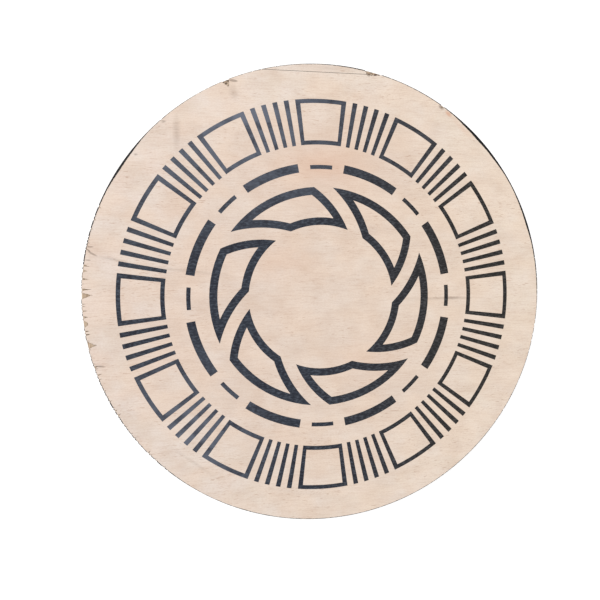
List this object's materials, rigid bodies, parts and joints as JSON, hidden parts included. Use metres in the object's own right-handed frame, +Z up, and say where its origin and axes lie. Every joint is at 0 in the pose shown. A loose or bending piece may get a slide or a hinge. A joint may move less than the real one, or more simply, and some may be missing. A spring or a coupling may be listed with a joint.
{
  "type": "round balance board",
  "caption": "Round wooden balance board: a flat plywood deck with printed rings of ornament on its top face, on a turned rocker dome with a flat rubber foot.",
  "frame": {"origin": "on the floor under the board's centre, at the middle of the rubber foot's sole", "axes": "+Z up through the deck; +Y towards the deck's edge that carries the narrow strip of face veneer, which is the top of the picture; +X to the picture's right"},
  "size_m": [0.4, 0.4, 0.0776],
  "materials": {
    "face_veneer": "pale sanded beech veneer, satin, printed with dark slate ink",
    "plywood_core": "brown hardwood core plies, edge painted black",
    "back_veneer": "pale sanded veneer, unprinted",
    "mounting_disc": "sanded and lacquered beech",
    "turned_beech": "turned, sanded and lacquered beech",
    "black_rubber": "matte moulded rubber",
    "zinc_plated_steel": "zinc plated"
  },
  "bodies": {
    "root": {"face_veneer": "face_veneer", "face_veneer_strip": "face_veneer", "core_ply_1": "plywood_core", "core_ply_2": "plywood_core", "core_ply_3": "plywood_core", "core_ply_4": "plywood_core", "core_ply_5": "plywood_core", "back_veneer": "back_veneer", "mounting_disc": "mounting_disc", "deck_screw_1": "zinc_plated_steel", "deck_screw_2": "zinc_plated_steel", "deck_screw_3": "zinc_plated_steel", "deck_screw_4": "zinc_plated_steel", "deck_screw_5": "zinc_plated_steel", "deck_screw_6": "zinc_plated_steel", "deck_screw_7": "zinc_plated_steel", "deck_screw_8": "zinc_plated_steel", "rocker_dome": "turned_beech", "dome_screw_1": "zinc_plated_steel", "dome_screw_2": "zinc_plated_steel", "dome_screw_3": "zinc_plated_steel", "dome_screw_4": "zinc_plated_steel", "foot_pad": "black_rubber", "foot_washer": "zinc_plated_steel", "foot_screw": "zinc_plated_steel"}
  },
  "joints": []
}
